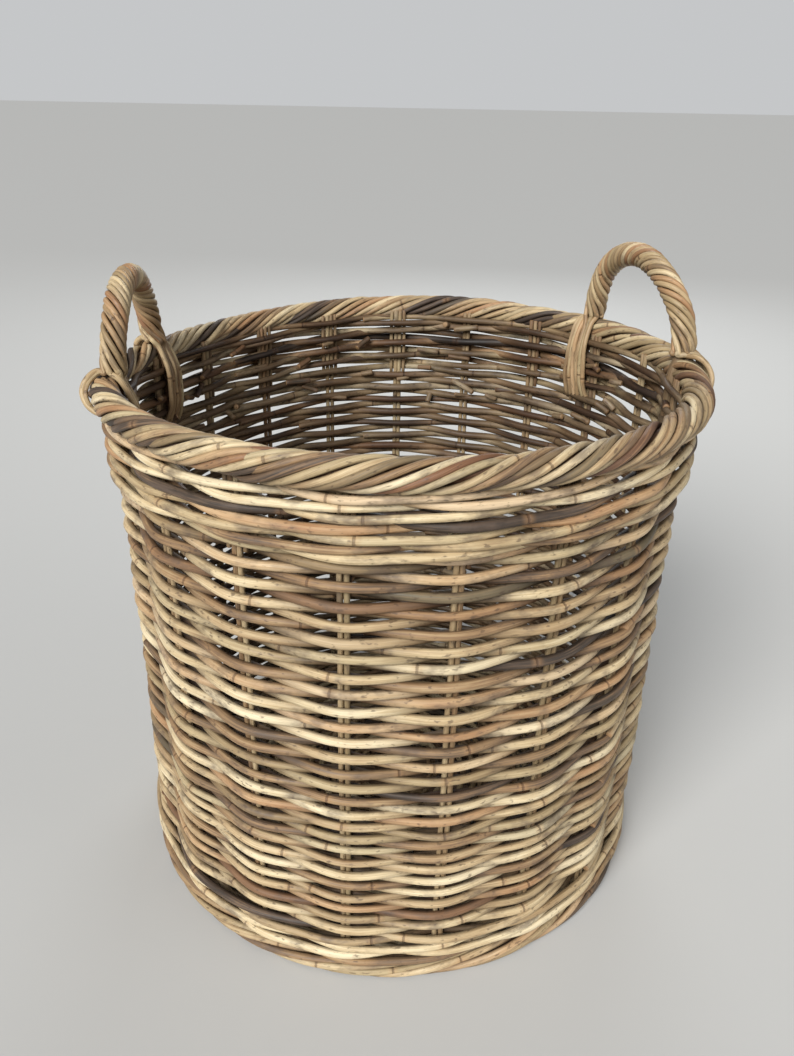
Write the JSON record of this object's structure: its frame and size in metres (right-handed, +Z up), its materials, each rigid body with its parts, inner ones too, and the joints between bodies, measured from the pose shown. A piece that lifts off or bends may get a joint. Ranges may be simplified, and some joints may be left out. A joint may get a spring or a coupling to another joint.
{
  "type": "wicker log basket",
  "caption": "Round open-topped basket woven from rattan rods, with a rolled rope-like rim and two upright roped carrying handles, for logs or other loose household goods.",
  "frame": {"origin": "centre of the underside, on the surface that the basket stands on", "axes": "+Z up out of the open top, +X to the right and +Y to the back when the basket is seen from its front; the handles stand a little behind the +X and -X sides"},
  "size_m": [0.504, 0.496, 0.5308],
  "materials": {
    "wall_rods": "natural rattan rods, satin, cream to brown",
    "stake_canes": "thin natural canes, satin",
    "border_rods": "natural rattan rods, satin",
    "handle_rods": "natural rattan rods, satin, worn smooth on top",
    "handle_cane": "thick natural cane",
    "base_sticks": "thick natural rattan sticks, matt",
    "base_rods": "natural rattan rods, matt"
  },
  "bodies": {
    "root": {"base_binding": "base_rods", "base_stick_01": "base_sticks", "base_stick_02": "base_sticks", "base_stick_03": "base_sticks", "base_stick_04": "base_sticks", "base_stick_05": "base_sticks", "base_stick_06": "base_sticks", "base_stick_07": "base_sticks", "base_stick_08": "base_sticks", "base_stick_09": "base_sticks", "base_stick_10": "base_sticks", "base_weave": "base_rods", "foot_band": "wall_rods", "left_handle_core": "handle_cane", "left_handle_front_lashing": "handle_rods", "left_handle_rear_lashing": "handle_rods", "left_handle_wrap": "handle_rods", "right_handle_core": "handle_cane", "right_handle_front_lashing": "handle_rods", "right_handle_rear_lashing": "handle_rods", "right_handle_wrap": "handle_rods", "rolled_border": "border_rods", "stake_01": "stake_canes", "stake_02": "stake_canes", "stake_03": "stake_canes", "stake_04": "stake_canes", "stake_05": "stake_canes", "stake_06": "stake_canes", "stake_07": "stake_canes", "stake_08": "stake_canes", "stake_09": "stake_canes", "stake_10": "stake_canes", "stake_11": "stake_canes", "stake_12": "stake_canes", "stake_13": "stake_canes", "stake_14": "stake_canes", "stake_15": "stake_canes", "stake_16": "stake_canes", "stake_17": "stake_canes", "stake_18": "stake_canes", "stake_19": "stake_canes", "top_wale": "wall_rods", "upsett_band": "wall_rods", "weave_course_1": "wall_rods", "weave_course_2": "wall_rods", "weave_course_3": "wall_rods", "weave_course_4": "wall_rods", "weave_course_5": "wall_rods", "weave_course_6": "wall_rods", "weave_course_7": "wall_rods"}
  },
  "joints": []
}
